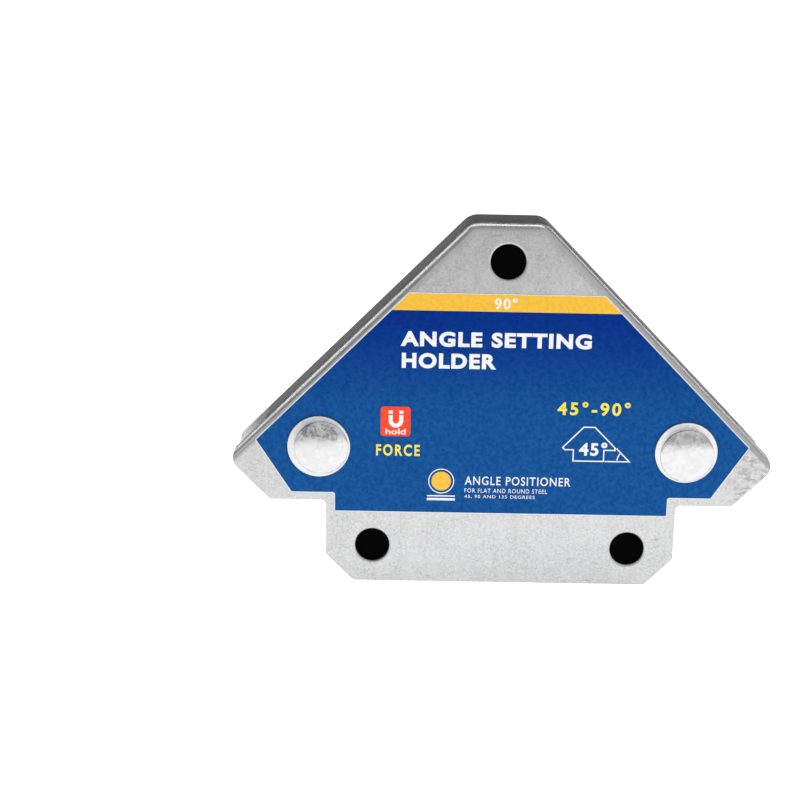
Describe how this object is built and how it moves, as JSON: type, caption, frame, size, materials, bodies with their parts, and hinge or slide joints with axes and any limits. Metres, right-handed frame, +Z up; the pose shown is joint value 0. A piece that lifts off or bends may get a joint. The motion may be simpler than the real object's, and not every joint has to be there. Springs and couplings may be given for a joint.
{
  "type": "welding magnet holder",
  "caption": "Arrow-shaped magnetic holder: pressed steel shells riveted over a magnet core, with sloping faces that set steel parts at 45 or 90 degrees for welding.",
  "frame": {"origin": "middle of the foot, on the surface that the holder stands on", "axes": "+Z up, X across the arrowhead, Y through the thickness with the printed front towards -Y"},
  "size_m": [0.085, 0.0142, 0.058],
  "materials": {
    "plated_steel": "satin zinc plating, finely mottled",
    "printed_film": "printed vinyl, semi-gloss",
    "rivet_steel": "bright nickel plating",
    "spacer_brass": "machined",
    "core_plastic": "matt black moulding",
    "ferrite": "sintered, dull grey"
  },
  "bodies": {
    "root": {"front_shell": "plated_steel", "rear_shell": "plated_steel", "front_label": "printed_film", "rear_label": "printed_film", "rivet_left": "rivet_steel", "rivet_right": "rivet_steel", "spacer_left": "spacer_brass", "spacer_right": "spacer_brass", "core": "core_plastic", "magnet_foot_left": "ferrite", "magnet_foot_right": "ferrite", "magnet_lower_left": "ferrite", "magnet_lower_right": "ferrite", "magnet_upper_left": "ferrite", "magnet_upper_right": "ferrite"}
  },
  "joints": []
}
